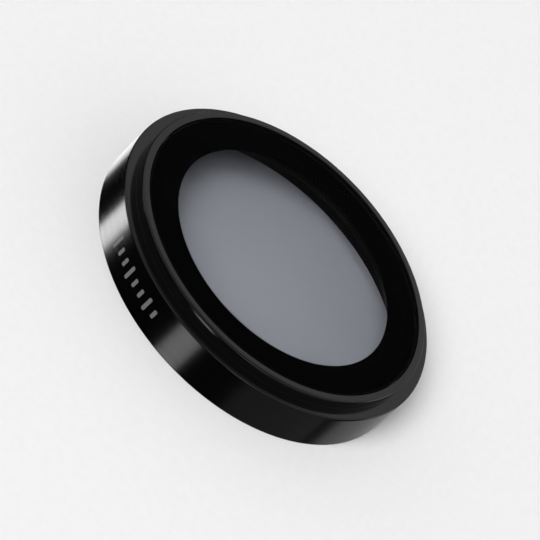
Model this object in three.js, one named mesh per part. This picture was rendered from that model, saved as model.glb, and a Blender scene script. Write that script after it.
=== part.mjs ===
// Protective cover for the round rear camera lens of a phone.
//
// A thin black anodised ring carries a flat cover glass, flush inside a narrow rim.
// Outside the rim the ring steps down to a ledge, and from the ledge a thin skirt
// hangs down and slips over the phone's own raised lens ring. The glass has a black
// printed border round its clear window, and sits on a narrow seat inside the ring.
// A black double-sided tape under the seat holds the cover on the phone. Nothing moves.
//
// Millimetres, +Z up through the glass. The origin is the centre of the skirt's foot.

import * as THREE from 'three';

// ---- driving dimensions ----------------------------------------------------

const FACETS = 96;              // flat sides round every ring and disc

const GLASS_FACE_HEIGHT = 2.40; // skirt foot to the glass's top face
const RIM_LIP = 0.02;           // how far the rim stands above the glass
const LEDGE_DEPTH = 0.47;       // glass's top face down to the ledge

const SKIRT_RADIUS = 7.72;      // outside of the skirt, the widest part
const BORE_RADIUS = 7.43;       // inside of the skirt, over a 14.7 mm lens ring
const RIM_RADIUS = 7.20;        // outside of the rim
const POCKET_RADIUS = 6.86;     // inside of the rim, round the glass
const SEAT_RADIUS = 5.70;       // inner edge of the seat under the glass
const SEAT_THICKNESS = 0.37;

const SHOULDER_ROUND = 0.10;    // where the ledge turns down into the skirt
const COVE_ROUND = 0.03;        // where the rim's wall meets the ledge
const EDGE_BREAK = 0.04;        // small chamfer on the rim's and the foot's edges
const LEAD_IN_RADIUS = 7.51;    // the bore opens out to this at the foot
const LEAD_IN_HEIGHT = 0.28;

const GLASS_RADIUS = 6.82;
const GLASS_THICKNESS = 0.20;
const GLASS_CHAMFER = 0.04;

const WINDOW_RADIUS = 5.34;     // clear window inside the printed border
const BORDER_RADIUS = 6.76;
const BORDER_THICKNESS = 0.02;

const BOND_THICKNESS = 0.06;    // glue line between the printed border and the seat
const BOND_INNER_RADIUS = 5.80;
const BOND_OUTER_RADIUS = 6.72;

const TAPE_LAYER = 0.05;        // each of the tape's three layers
const TAPE_INNER_RADIUS = 5.80;
const TAPE_OUTER_RADIUS = 7.20;

// ---- heights worked out from them ------------------------------------------

const rimTop = GLASS_FACE_HEIGHT + RIM_LIP;
const ledgeTop = GLASS_FACE_HEIGHT - LEDGE_DEPTH;
const glassUnder = GLASS_FACE_HEIGHT - GLASS_THICKNESS;
const borderUnder = glassUnder - BORDER_THICKNESS;
const seatTop = borderUnder - BOND_THICKNESS;
const seatUnder = seatTop - SEAT_THICKNESS;

// ---- finishes --------------------------------------------------------------

const blackAnodising = new THREE.MeshStandardMaterial({
  color: 0x0b0b0c, roughness: 0.28, metalness: 0.9,
});
const clearGlass = new THREE.MeshStandardMaterial({
  color: 0xdfe2ee, roughness: 0.03, metalness: 0, transparent: true, opacity: 0.3,
});
const blackInk = new THREE.MeshStandardMaterial({
  color: 0x020202, roughness: 0.3, metalness: 0,
});
const blackGlue = new THREE.MeshStandardMaterial({
  color: 0x1a1a1c, roughness: 0.4, metalness: 0,
});
const tapeAdhesive = new THREE.MeshStandardMaterial({
  color: 0x232324, roughness: 0.45, metalness: 0,
});
const tapeFilm = new THREE.MeshStandardMaterial({
  color: 0x141415, roughness: 0.25, metalness: 0,
});

// ---- helpers ---------------------------------------------------------------

const cover = new THREE.Group();

// Points along a circular arc in the half-section, from one angle to another.
function arc(centreRadius, centreHeight, round, fromDegrees, toDegrees, steps = 3) {
  const points = [];
  for (let step = 0; step <= steps; step += 1) {
    const degrees = fromDegrees + ((toDegrees - fromDegrees) * step) / steps;
    const angle = THREE.MathUtils.degToRad(degrees);
    points.push([
      centreRadius + round * Math.cos(angle),
      centreHeight + round * Math.sin(angle),
    ]);
  }
  return points;
}

// Turns a half-section of [radius, height] points about the Z axis. The section
// runs anticlockwise, and either closes on itself or has both ends on the axis.
function addTurned(name, material, section) {
  const profile = section.map(([radius, height]) => new THREE.Vector2(radius, height));
  if (section[0][0] !== 0) profile.push(profile[0].clone());
  const geometry = new THREE.LatheGeometry(profile, FACETS);
  geometry.rotateX(Math.PI / 2);
  const mesh = new THREE.Mesh(geometry, material);
  mesh.name = name;
  cover.add(mesh);
}

// A flat washer-shaped layer between two heights.
function addLayer(name, material, innerRadius, outerRadius, underside, thickness) {
  const top = underside + thickness;
  addTurned(name, material, [
    [innerRadius, underside], [outerRadius, underside],
    [outerRadius, top], [innerRadius, top],
  ]);
}

// ---- the ring: rim, ledge, skirt and seat, turned from one piece -----------

addTurned('frame_ring', blackAnodising, [
  [LEAD_IN_RADIUS, 0],
  [SKIRT_RADIUS - EDGE_BREAK, 0],
  [SKIRT_RADIUS, EDGE_BREAK],
  ...arc(SKIRT_RADIUS - SHOULDER_ROUND, ledgeTop - SHOULDER_ROUND, SHOULDER_ROUND, 0, 90),
  ...arc(RIM_RADIUS + COVE_ROUND, ledgeTop + COVE_ROUND, COVE_ROUND, 270, 180),
  [RIM_RADIUS, rimTop - EDGE_BREAK],
  [RIM_RADIUS - EDGE_BREAK, rimTop],
  [POCKET_RADIUS + EDGE_BREAK, rimTop],
  [POCKET_RADIUS, rimTop - EDGE_BREAK],
  [POCKET_RADIUS, seatTop],
  [SEAT_RADIUS, seatTop],
  [SEAT_RADIUS, seatUnder],
  [BORE_RADIUS, seatUnder],
  [BORE_RADIUS, LEAD_IN_HEIGHT],
]);

// ---- the cover glass, a disc with small chamfers at both edges -------------

addTurned('cover_glass', clearGlass, [
  [0, glassUnder],
  [GLASS_RADIUS - GLASS_CHAMFER, glassUnder],
  [GLASS_RADIUS, glassUnder + GLASS_CHAMFER],
  [GLASS_RADIUS, GLASS_FACE_HEIGHT - GLASS_CHAMFER],
  [GLASS_RADIUS - GLASS_CHAMFER, GLASS_FACE_HEIGHT],
  [0, GLASS_FACE_HEIGHT],
]);

// ---- the black border, printed on the underside of the glass ---------------

addLayer('border_print', blackInk,
  WINDOW_RADIUS, BORDER_RADIUS, borderUnder, BORDER_THICKNESS);

// ---- the glue line that holds the glass on its seat ------------------------

addLayer('glass_bond', blackGlue,
  BOND_INNER_RADIUS, BOND_OUTER_RADIUS, seatTop, BOND_THICKNESS);

// ---- the double-sided tape that holds the cover on the phone ---------------

const tapeLayers = [
  ['tape_frame_adhesive', tapeAdhesive],
  ['tape_carrier', tapeFilm],
  ['tape_phone_adhesive', tapeAdhesive],
];
tapeLayers.forEach(([name, material], index) => {
  const underside = seatUnder - (index + 1) * TAPE_LAYER;
  addLayer(name, material, TAPE_INNER_RADIUS, TAPE_OUTER_RADIUS, underside, TAPE_LAYER);
});

export default cover;
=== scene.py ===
"""A protective cover for the round camera lens of a phone, lying on a pale floor.

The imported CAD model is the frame. Its seven turned solids are faceted, so each one is
replaced here by a finely turned piece of the same size, with small roundings and a
procedural finish. Everything is in metres, and MM turns millimetres into them.
"""
import math

import bmesh
import bpy
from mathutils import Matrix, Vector


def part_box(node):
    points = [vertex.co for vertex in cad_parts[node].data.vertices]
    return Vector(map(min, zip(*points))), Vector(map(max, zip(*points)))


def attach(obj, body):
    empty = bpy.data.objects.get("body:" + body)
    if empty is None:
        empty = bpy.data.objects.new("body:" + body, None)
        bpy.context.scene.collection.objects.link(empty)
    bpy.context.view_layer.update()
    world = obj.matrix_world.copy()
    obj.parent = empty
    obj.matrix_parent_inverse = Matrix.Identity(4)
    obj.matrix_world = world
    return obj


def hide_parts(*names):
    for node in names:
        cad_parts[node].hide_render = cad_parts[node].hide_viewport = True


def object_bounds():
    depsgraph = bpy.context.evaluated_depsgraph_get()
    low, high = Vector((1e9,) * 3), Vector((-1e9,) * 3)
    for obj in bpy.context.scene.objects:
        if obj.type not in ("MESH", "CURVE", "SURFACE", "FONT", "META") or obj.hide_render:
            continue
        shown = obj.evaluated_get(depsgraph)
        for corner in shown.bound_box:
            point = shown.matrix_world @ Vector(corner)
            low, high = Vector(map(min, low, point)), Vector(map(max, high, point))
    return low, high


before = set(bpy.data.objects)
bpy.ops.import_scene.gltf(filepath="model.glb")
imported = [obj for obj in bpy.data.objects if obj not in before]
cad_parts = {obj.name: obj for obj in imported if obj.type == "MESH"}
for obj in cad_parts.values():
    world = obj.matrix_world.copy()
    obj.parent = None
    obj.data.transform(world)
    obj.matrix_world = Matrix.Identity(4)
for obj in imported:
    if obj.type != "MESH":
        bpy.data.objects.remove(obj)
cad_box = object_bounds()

MM = 0.001

# ---- shapes that the boxes of the CAD nodes don't give ----------------------

LEDGE_HEIGHT = 1.93 * MM        # step between the rim and the skirt
RIM_RADIUS = 7.20 * MM          # outside of the rim
POCKET_RADIUS = 6.86 * MM       # inside of the rim, round the glass
SEAT_RADIUS = 5.70 * MM         # inner edge of the seat under the glass
BORE_RADIUS = 7.43 * MM         # inside of the skirt
LEAD_IN_RADIUS = 7.51 * MM      # the bore opens out to this at the foot
LEAD_IN_HEIGHT = 0.28 * MM
WINDOW_RADIUS = 5.34 * MM       # clear window inside the printed border
BOND_RADIUS = 5.80 * MM         # inner edge of the glue line
TAPE_RADIUS = 5.80 * MM         # inner edge of the tape

SHOULDER_ROUND = 0.10 * MM      # ledge into skirt
RIM_ROUND = 0.08 * MM           # outer edge of the rim
EDGE_ROUND = 0.035 * MM         # the ring's other broken edges
CREASE_ROUND = 0.006 * MM       # corners that the tool leaves sharp
GLASS_ROUND = 0.045 * MM        # ground edge of the glass
PRINT_ROUND = 0.004 * MM
GLUE_ROUND = 0.012 * MM
TAPE_ROUND = 0.008 * MM
CLEARANCE = 0.002 * MM          # keeps touching faces apart, and sinks the print into the glass

SEGMENTS = 480                  # round every turned piece
ROUND_STEPS = 6                 # along every rounding
STRETCH_PART = 3                # a rounding's radius over the straight stretch beside it
SAME_POINT = 1e-8               # corners closer than this are one

# ---- where the CAD pieces lie ------------------------------------------------

foot, rim_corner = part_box("frame_ring")
glass_under, glass_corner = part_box("cover_glass")
print_under, print_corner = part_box("border_print")
bond_under, bond_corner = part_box("glass_bond")
TAPE_NODES = ("tape_frame_adhesive", "tape_carrier", "tape_phone_adhesive")
tape_boxes = [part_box(node) for node in TAPE_NODES]

skirt_radius = rim_corner.x
rim_top = rim_corner.z
seat_top = bond_under.z
seat_under = tape_boxes[0][1].z
centre = (cad_box[0] + cad_box[1]) / 2

# ---- camera ------------------------------------------------------------------

VIEW_AZIMUTH = math.radians(26.9)
VIEW_ELEVATION = math.radians(35.7)
VIEW_DISTANCE = 133.0 * MM
VIEW_ROLL = math.radians(46.9)  # the lens axis leans this far to the right
LENS = 215.0                    # focal length in the camera's own millimetres


def direction(azimuth, elevation):
    """The unit vector from the object towards that azimuth and elevation. Azimuth 0 is -Y."""
    return Vector((
        math.sin(azimuth) * math.cos(elevation),
        -math.cos(azimuth) * math.cos(elevation),
        math.sin(elevation),
    ))


def add_camera():
    data = bpy.data.cameras.new("camera")
    data.lens = LENS
    data.clip_start = 1 * MM
    data.clip_end = 100
    camera = bpy.data.objects.new("camera", data)
    back = direction(VIEW_AZIMUTH, VIEW_ELEVATION)
    camera.location = centre + back * VIEW_DISTANCE
    camera.rotation_euler = (-back).to_track_quat("-Z", "Y").to_euler()
    camera.rotation_euler.rotate_axis("Z", VIEW_ROLL)
    bpy.context.collection.objects.link(camera)
    bpy.context.scene.camera = camera


# ---- light -------------------------------------------------------------------

# Brightness by the sine of the elevation: dark below, a bright band above, a dimmer zenith.
WORLD_LEVELS = (
    (-0.35, 0.004), (-0.05, 0.06), (0.12, 0.12), (0.42, 0.42), (0.70, 0.42), (0.90, 0.08),
)


def add_softbox(name, azimuth, elevation, distance, size, power, shape="SQUARE"):
    """A soft area light aimed at the object. Angles are in degrees, and azimuth 0 is -Y."""
    data = bpy.data.lights.new(name, "AREA")
    data.shape = shape
    data.size = size
    data.energy = power
    light = bpy.data.objects.new(name, data)
    towards = direction(math.radians(azimuth), math.radians(elevation))
    light.location = centre + towards * distance
    light.rotation_euler = towards.to_track_quat("Z", "Y").to_euler()
    light.visible_camera = False
    bpy.context.collection.objects.link(light)
    return light


def add_lights():
    """A large main light from above, which nothing mirrors, and cards for the ring to mirror.

    Most of the cards lie below the floor's level, and the floor doesn't hide them from the skirt.
    """
    key = add_softbox("key", azimuth=9, elevation=41, distance=2.0, size=1.22, power=45, shape="DISK")
    key.visible_glossy = False
    add_softbox("left_card", azimuth=-66.5, elevation=-38, distance=0.20, size=0.049, power=0.052)
    add_softbox("edge_card", azimuth=-132, elevation=-36, distance=0.20, size=0.078, power=0.036)
    add_softbox(
        "front_card", azimuth=23, elevation=-37, distance=0.20, size=0.052, power=0.0152, shape="DISK",
    )
    add_softbox("right_card", azimuth=170, elevation=-30, distance=0.20, size=0.19, power=0.044)
    add_softbox("dim_card", azimuth=97, elevation=-30, distance=0.20, size=0.18, power=0.0115)
    for azimuth in (-60, 60, 150):
        add_softbox("low_card", azimuth, elevation=2, distance=0.30, size=0.10, power=0.022)


def add_world():
    """A pale band of light all round, dimmer overhead and all but dark under the floor."""
    world = bpy.data.worlds.new("world")
    world.use_nodes = True
    nodes = world.node_tree.nodes
    link = world.node_tree.links.new
    towards = nodes.new("ShaderNodeTexCoord")
    apart = nodes.new("ShaderNodeSeparateXYZ")
    link(towards.outputs["Generated"], apart.inputs[0])
    spread = nodes.new("ShaderNodeMapRange")
    spread.inputs["From Min"].default_value = -1
    link(apart.outputs["Z"], spread.inputs["Value"])
    ramp = nodes.new("ShaderNodeValToRGB")
    elements = ramp.color_ramp.elements
    while len(elements) < len(WORLD_LEVELS):
        elements.new(0.5)
    for element, (height, level) in zip(elements, WORLD_LEVELS):
        element.position = (height + 1) / 2
        element.color = (level, level, level, 1)
    link(spread.outputs["Result"], ramp.inputs["Fac"])
    link(ramp.outputs["Color"], nodes["Background"].inputs["Color"])
    bpy.context.scene.world = world


# ---- materials ---------------------------------------------------------------

PATTERN_LOW = 0.3               # a pattern's darkest and lightest useful values
PATTERN_HIGH = 0.7


class Finish:
    """A procedural material under construction."""

    def __init__(self, name, **sockets):
        self.material = bpy.data.materials.new(name)
        self.material.use_nodes = True
        self.nodes = self.material.node_tree.nodes
        self.shader = self.nodes["Principled BSDF"]
        self.output = self.nodes["Material Output"]
        for socket, value in sockets.items():
            self.shader.inputs[socket.replace("_", " ")].default_value = value

    def add(self, kind, **settings):
        node = self.nodes.new("ShaderNode" + kind)
        for name, value in settings.items():
            setattr(node, name, value)
        return node

    def link(self, source, target):
        self.material.node_tree.links.new(source, target)

    def place(self):
        """Object coordinates, in metres in the part's frame."""
        return self.add("TexCoord").outputs["Object"]

    def turned_place(self):
        """Distance from the lens axis and height, which stay the same round a turned part."""
        apart = self.add("SeparateXYZ")
        self.link(self.place(), apart.inputs[0])
        flat = self.add("CombineXYZ")
        self.link(apart.outputs["X"], flat.inputs["X"])
        self.link(apart.outputs["Y"], flat.inputs["Y"])
        length = self.add("VectorMath", operation="LENGTH")
        self.link(flat.outputs[0], length.inputs[0])
        both = self.add("CombineXYZ")
        self.link(length.outputs["Value"], both.inputs["X"])
        self.link(apart.outputs["Z"], both.inputs["Z"])
        return both.outputs[0]

    def noise(self, place, grain, detail=2.0):
        """A noise whose features are about grain wide, from 0 to 1."""
        node = self.add("TexNoise")
        node.inputs["Scale"].default_value = 1 / grain
        node.inputs["Detail"].default_value = detail
        self.link(place, node.inputs["Vector"])
        return node.outputs["Fac"]

    def vary(self, pattern, socket, low, high):
        """Lets a pattern drive a socket between two values."""
        spread = self.add("MapRange")
        spread.inputs["From Min"].default_value = PATTERN_LOW
        spread.inputs["From Max"].default_value = PATTERN_HIGH
        spread.inputs["To Min"].default_value = low
        spread.inputs["To Max"].default_value = high
        self.link(pattern, spread.inputs["Value"])
        self.link(spread.outputs["Result"], self.shader.inputs[socket])

    def tone(self, pattern, dark, light):
        """Lets a pattern drive the base colour between two colours."""
        ramp = self.add("ValToRGB")
        ramp.color_ramp.elements[0].position = PATTERN_LOW
        ramp.color_ramp.elements[1].position = PATTERN_HIGH
        ramp.color_ramp.elements[0].color = (*dark, 1)
        ramp.color_ramp.elements[1].color = (*light, 1)
        self.link(pattern, ramp.inputs["Fac"])
        self.link(ramp.outputs["Color"], self.shader.inputs["Base Color"])

    def relief(self, pattern, depth, strength):
        """Lets a pattern raise bumps up to that deep, at that strength."""
        bump = self.add("Bump")
        bump.inputs["Distance"].default_value = depth
        bump.inputs["Strength"].default_value = strength
        self.link(pattern, bump.inputs["Height"])
        self.link(bump.outputs["Normal"], self.shader.inputs["Normal"])


def satin_anodising():
    """The finely turned rim and ledge, satin black."""
    finish = Finish("satin_anodising", IOR=1.65)
    lines = finish.noise(finish.turned_place(), 0.03 * MM, detail=2)
    patches = finish.noise(finish.place(), 0.9 * MM)
    finish.tone(patches, (0.0005, 0.0005, 0.0006), (0.0010, 0.0010, 0.0011))
    finish.vary(patches, "Roughness", 0.13, 0.19)
    finish.relief(lines, 0.0004 * MM, 0.25)
    return finish.material


def turned_anodising():
    """The finely turned skirt: glossy black with faint lines round it."""
    finish = Finish("turned_anodising", IOR=1.65, Anisotropic=0.6, Anisotropic_Rotation=0.25)
    tangent = finish.add("Tangent", direction_type="RADIAL", axis="Z")
    finish.link(tangent.outputs[0], finish.shader.inputs["Tangent"])
    lines = finish.noise(finish.turned_place(), 0.03 * MM, detail=2)
    patches = finish.noise(finish.place(), 1.2 * MM)
    finish.tone(patches, (0.0004, 0.0004, 0.0005), (0.0008, 0.0008, 0.0009))
    finish.vary(lines, "Roughness", 0.16, 0.22)
    finish.relief(lines, 0.0004 * MM, 0.3)
    return finish.material


def bore_anodising():
    """The dull black inside of the ring."""
    finish = Finish("bore_anodising", Specular_IOR_Level=0.12)
    lines = finish.noise(finish.turned_place(), 0.05 * MM, detail=3)
    finish.tone(lines, (0.0005, 0.0005, 0.0006), (0.0009, 0.0009, 0.001))
    finish.vary(lines, "Roughness", 0.5, 0.65)
    finish.relief(lines, 0.0015 * MM, 0.5)
    return finish.material


def coated_glass():
    """Flat grey-tinted cover glass, which lets the lamps' light through.

    Its low index and violet reflections stand for an anti-reflective coating.
    """
    finish = Finish(
        "coated_glass",
        Roughness=0.01,
        IOR=1.07,
        Transmission_Weight=1.0,
        Specular_Tint=(0.78, 0.72, 1.0, 1),
    )
    coating = finish.noise(finish.place(), 6 * MM, detail=1)
    finish.tone(coating, (0.47, 0.478, 0.505), (0.49, 0.498, 0.525))
    through = finish.add("BsdfTransparent")
    through.inputs["Color"].default_value = (0.52, 0.525, 0.545, 1)
    rays = finish.add("LightPath")
    mix = finish.add("MixShader")
    finish.link(rays.outputs["Is Shadow Ray"], mix.inputs["Fac"])
    finish.link(finish.shader.outputs[0], mix.inputs[1])
    finish.link(through.outputs[0], mix.inputs[2])
    finish.link(mix.outputs[0], finish.output.inputs["Surface"])
    return finish.material


def ground_edge():
    """The glass's ground edge, blackened where it sits in the ring."""
    finish = Finish("ground_edge", Specular_IOR_Level=0.1)
    grain = finish.noise(finish.place(), 0.02 * MM, detail=3)
    finish.tone(grain, (0.0004, 0.0004, 0.0005), (0.0008, 0.0008, 0.0009))
    finish.vary(grain, "Roughness", 0.45, 0.6)
    finish.relief(grain, 0.0008 * MM, 0.3)
    return finish.material


def border_ink():
    """Opaque black print under the glass."""
    finish = Finish("border_ink", Specular_IOR_Level=0.0)
    grain = finish.noise(finish.place(), 0.08 * MM, detail=3)
    finish.tone(grain, (0.0003, 0.0003, 0.0004), (0.0007, 0.0007, 0.0008))
    finish.vary(grain, "Roughness", 0.25, 0.4)
    return finish.material


def mark_ink():
    """Grey printed marks on the skirt."""
    finish = Finish("mark_ink", Roughness=0.55)
    grain = finish.noise(finish.place(), 0.04 * MM, detail=3)
    finish.tone(grain, (0.075, 0.075, 0.076), (0.11, 0.11, 0.112))
    finish.relief(grain, 0.001 * MM, 0.4)
    return finish.material


def black_glue():
    """Cured glue line with a slightly wavy skin."""
    finish = Finish("black_glue", Specular_IOR_Level=0.2)
    waves = finish.noise(finish.place(), 0.25 * MM, detail=2)
    finish.tone(waves, (0.002, 0.002, 0.0022), (0.004, 0.004, 0.0043))
    finish.vary(waves, "Roughness", 0.32, 0.5)
    finish.relief(waves, 0.006 * MM, 0.6)
    return finish.material


def tape_adhesive():
    """Soft black adhesive, with the fine dimples that its liner left."""
    finish = Finish("tape_adhesive", Specular_IOR_Level=0.2)
    dimples = finish.add("TexVoronoi")
    dimples.inputs["Scale"].default_value = 1 / (0.12 * MM)
    finish.link(finish.place(), dimples.inputs["Vector"])
    patches = finish.noise(finish.place(), 0.6 * MM)
    finish.tone(patches, (0.003, 0.003, 0.0032), (0.006, 0.006, 0.0063))
    finish.vary(patches, "Roughness", 0.4, 0.55)
    finish.relief(dimples.outputs["Distance"], 0.004 * MM, 0.5)
    return finish.material


def tape_film():
    """The tape's smooth black film, seen at its cut edges."""
    finish = Finish("tape_film", Specular_IOR_Level=0.2)
    streaks = finish.noise(finish.turned_place(), 0.02 * MM, detail=1)
    finish.tone(streaks, (0.0015, 0.0015, 0.0016), (0.0025, 0.0025, 0.0027))
    finish.vary(streaks, "Roughness", 0.2, 0.32)
    return finish.material


def pale_floor():
    """A plain pale matt board."""
    finish = Finish("pale_floor", Roughness=0.75, Specular_IOR_Level=0.0)
    fibres = finish.noise(finish.place(), 0.4 * MM, detail=3)
    finish.tone(fibres, (0.80, 0.80, 0.80), (0.82, 0.82, 0.82))
    return finish.material


# ---- turned pieces -----------------------------------------------------------

def rounded(corners):
    """The outline through (radius, height, round) corners, with an arc at each round one.

    A short straight stretch at each end of an arc keeps the faces beside it flat-shaded.
    """
    points = []
    for index, (radius, height, size) in enumerate(corners):
        corner = Vector((radius, height))
        if size == 0:
            points.append(corner)
            continue
        before = Vector(corners[index - 1][:2]) - corner
        after = Vector(corners[(index + 1) % len(corners)][:2]) - corner
        half_angle = before.angle(after) / 2
        reach = size / math.tan(half_angle)
        middle = (before.normalized() + after.normalized()).normalized()
        hub = corner + middle * (size / math.sin(half_angle))
        start = corner + before.normalized() * reach
        end = corner + after.normalized() * reach
        points.append(start + before.normalized() * size / STRETCH_PART)
        for step in range(ROUND_STEPS + 1):
            spoke = (start - hub).normalized().slerp((end - hub).normalized(), step / ROUND_STEPS)
            points.append(hub + spoke * size)
        points.append(end + after.normalized() * size / STRETCH_PART)
    return points


def add_piece(name, mesh, node, materials):
    """Makes a shown piece of the object from a finished bmesh."""
    data = bpy.data.meshes.new(name)
    mesh.to_mesh(data)
    mesh.free()
    for material in materials:
        data.materials.append(material)
    piece = bpy.data.objects.new(name, data)
    bpy.context.collection.objects.link(piece)
    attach(piece, "root")
    if node:
        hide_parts(node)


def spin(outline, segments):
    """Spins an outline about the lens axis into a smooth bmesh.

    The outline closes on itself unless it starts on the axis.
    """
    mesh = bmesh.new()
    rings = []
    for radius, height in outline:
        ring = []
        for segment in range(segments):
            angle = 2 * math.pi * segment / segments
            ring.append(mesh.verts.new((radius * math.cos(angle), radius * math.sin(angle), height)))
        rings.append(ring)
    if outline[0].x > 0:
        rings.append(rings[0])
    for lower, upper in zip(rings, rings[1:]):
        for segment in range(segments):
            following = (segment + 1) % segments
            mesh.faces.new((lower[segment], lower[following], upper[following], upper[segment]))
    bmesh.ops.remove_doubles(mesh, verts=mesh.verts, dist=SAME_POINT)
    for face in mesh.faces:
        face.smooth = True
    return mesh


def turn(corners):
    """Turns a solid from its corners, which run anticlockwise in the half-section."""
    return spin(rounded(corners), SEGMENTS)


def layer(inner, outer, under, top, size):
    """The corners of a flat washer whose edges are all rounded alike."""
    return [(inner, under, size), (outer, under, size), (outer, top, size), (inner, top, size)]


FINISH_LINE = LEDGE_HEIGHT - SHOULDER_ROUND / 3    # a third of the way down the shoulder's rounding
OUTER_WALL = 0.5                # below that line, faces that look outward more are the skirt
INNER_WALL = -0.9               # faces that look outward less are the ring's inner walls
FLAT_FACE = 0.999               # faces of the glass that look up or down more are polished


def add_ring():
    """The turned ring: rim, ledge, skirt and seat, with three finishes."""
    mesh = turn([
        (LEAD_IN_RADIUS, foot.z, CREASE_ROUND),
        (skirt_radius, foot.z, EDGE_ROUND),
        (skirt_radius, LEDGE_HEIGHT, SHOULDER_ROUND),
        (RIM_RADIUS, LEDGE_HEIGHT, CREASE_ROUND),
        (RIM_RADIUS, rim_top, RIM_ROUND),
        (POCKET_RADIUS, rim_top, EDGE_ROUND),
        (POCKET_RADIUS, seat_top, CREASE_ROUND),
        (SEAT_RADIUS, seat_top, EDGE_ROUND),
        (SEAT_RADIUS, seat_under, EDGE_ROUND),
        (BORE_RADIUS, seat_under, CREASE_ROUND),
        (BORE_RADIUS, LEAD_IN_HEIGHT, CREASE_ROUND),
    ])
    mesh.normal_update()
    satin, turned, bore = range(3)
    for face in mesh.faces:
        middle = face.calc_center_median()
        outward = Vector((middle.x, middle.y, 0)).normalized().dot(face.normal)
        below_ledge = middle.z < FINISH_LINE
        if outward > OUTER_WALL and below_ledge:
            face.material_index = turned
        elif below_ledge or outward < INNER_WALL:
            face.material_index = bore
        else:
            face.material_index = satin
    finishes = [satin_anodising(), turned_anodising(), bore_anodising()]
    add_piece("ring_body", mesh, "frame_ring", finishes)


def add_glass():
    """The cover glass, a polished disc with a ground edge."""
    mesh = turn([
        (0, glass_under.z, 0),
        (glass_corner.x, glass_under.z, GLASS_ROUND),
        (glass_corner.x, glass_corner.z, GLASS_ROUND),
        (0, glass_corner.z, 0),
    ])
    mesh.normal_update()
    polished, ground = range(2)
    for face in mesh.faces:
        face.material_index = polished if abs(face.normal.z) > FLAT_FACE else ground
    finishes = [coated_glass(), ground_edge()]
    add_piece("glass_disc", mesh, "cover_glass", finishes)


def add_layers():
    """The print, the glue line and the tape, from the glass down."""
    border = turn(layer(
        WINDOW_RADIUS,
        print_corner.x,
        print_under.z + CLEARANCE,
        print_corner.z + CLEARANCE,
        PRINT_ROUND,
    ))
    add_piece("window_border", border, "border_print", [border_ink()])
    bond = turn(layer(
        BOND_RADIUS,
        bond_corner.x,
        bond_under.z + CLEARANCE,
        bond_corner.z - CLEARANCE,
        GLUE_ROUND,
    ))
    add_piece("glue_line", bond, "glass_bond", [black_glue()])
    adhesive = tape_adhesive()
    film = tape_film()
    materials = (adhesive, film, adhesive)
    slots = ("tape_adhesive", "tape_film", "tape_adhesive")
    names = ("tape_upper_adhesive", "tape_film", "tape_lower_adhesive")
    for name, node, slot, (low, high), material in zip(names, TAPE_NODES, slots, tape_boxes, materials):
        mesh = turn(layer(TAPE_RADIUS, high.x, low.z + CLEARANCE, high.z - CLEARANCE, TAPE_ROUND))
        add_piece(name, mesh, node, [material])


# ---- printed marks on the skirt ----------------------------------------------

MARK_ANGLE = math.radians(-90)  # the row's middle, seen from -Y
MARK_HEIGHT = 1.0 * MM
MARK_COUNT = 8
MARK_PITCH = 0.50 * MM
MARK_WIDTH = 0.17 * MM
MARK_ROUND = MARK_WIDTH * 0.3
MARK_LONG = 0.70 * MM
MARK_SHORT = 0.42 * MM
LONG_MARK_EVERY = 3
MARK_RELIEF = 0.006 * MM        # out of the skirt, and as far into it
MARK_CORNER_STEPS = 4


def tick_outline(width, height, size):
    """An upright bar with rounded corners, anticlockwise about its own centre."""
    quarters = ((1, -1, -90), (1, 1, 0), (-1, 1, 90), (-1, -1, 180))
    points = []
    for side, end, start in quarters:
        for step in range(MARK_CORNER_STEPS + 1):
            angle = math.radians(start + 90 * step / MARK_CORNER_STEPS)
            points.append((
                side * (width / 2 - size) + size * math.cos(angle),
                end * (height / 2 - size) + size * math.sin(angle),
            ))
    return points


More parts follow.
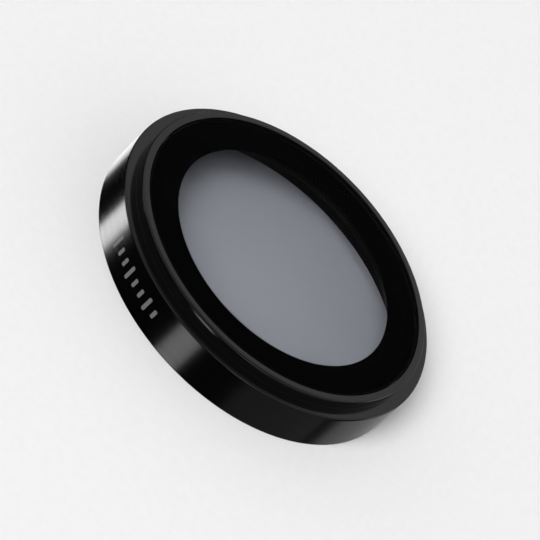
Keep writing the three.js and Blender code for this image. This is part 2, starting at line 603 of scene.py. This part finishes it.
def add_marks():
    """A plain row of long and short index ticks, printed round the skirt."""
    mesh = bmesh.new()
    for index in range(MARK_COUNT):
        along = (index - (MARK_COUNT - 1) / 2) * MARK_PITCH
        height = MARK_LONG if index % LONG_MARK_EVERY == 0 else MARK_SHORT
        outline = tick_outline(MARK_WIDTH, height, MARK_ROUND)
        loops = []
        for radius in (skirt_radius - MARK_RELIEF, skirt_radius + MARK_RELIEF):
            loop = []
            for across, up in outline:
                angle = MARK_ANGLE + (along + across) / skirt_radius
                loop.append(mesh.verts.new((
                    radius * math.cos(angle),
                    radius * math.sin(angle),
                    MARK_HEIGHT + up,
                )))
            loops.append(loop)
        inner, outer = loops
        mesh.faces.new(outer)
        mesh.faces.new(list(reversed(inner)))
        for here in range(len(outline)):
            there = (here + 1) % len(outline)
            mesh.faces.new((inner[here], inner[there], outer[there], outer[here]))
    add_piece("skirt_marks", mesh, None, [mark_ink()])


# ---- floor -------------------------------------------------------------------

FLOOR_RADIUS = 0.40             # of its flat part
FLOOR_BEND = 0.40               # radius of its upward curve
FLOOR_WALL = 0.10               # upright above the curve
FLOOR_BEND_STEPS = 12
FLOOR_SEGMENTS = 96


def add_floor():
    """A pale round board that curves up all round.

    It isn't mirrored and casts no shadow, so the cards below its level still light the skirt.
    """
    outline = [Vector((0, foot.z)), Vector((FLOOR_RADIUS, foot.z))]
    for step in range(1, FLOOR_BEND_STEPS + 1):
        angle = math.radians(-90 + 90 * step / FLOOR_BEND_STEPS)
        outline.append(Vector((
            FLOOR_RADIUS + FLOOR_BEND * math.cos(angle),
            foot.z + FLOOR_BEND + FLOOR_BEND * math.sin(angle),
        )))
    outline.append(outline[-1] + Vector((0, FLOOR_WALL)))
    mesh = spin(outline, FLOOR_SEGMENTS)
    for face in mesh.faces:
        face.normal_flip()
    data = bpy.data.meshes.new("floor")
    mesh.to_mesh(data)
    mesh.free()
    data.materials.append(pale_floor())
    floor = bpy.data.objects.new("floor", data)
    bpy.context.collection.objects.link(floor)
    floor.visible_glossy = False
    floor.visible_shadow = False


bpy.context.scene.view_settings.view_transform = "Standard"
add_camera()
add_world()
add_lights()
add_floor()
add_ring()
add_glass()
add_layers()
add_marks()
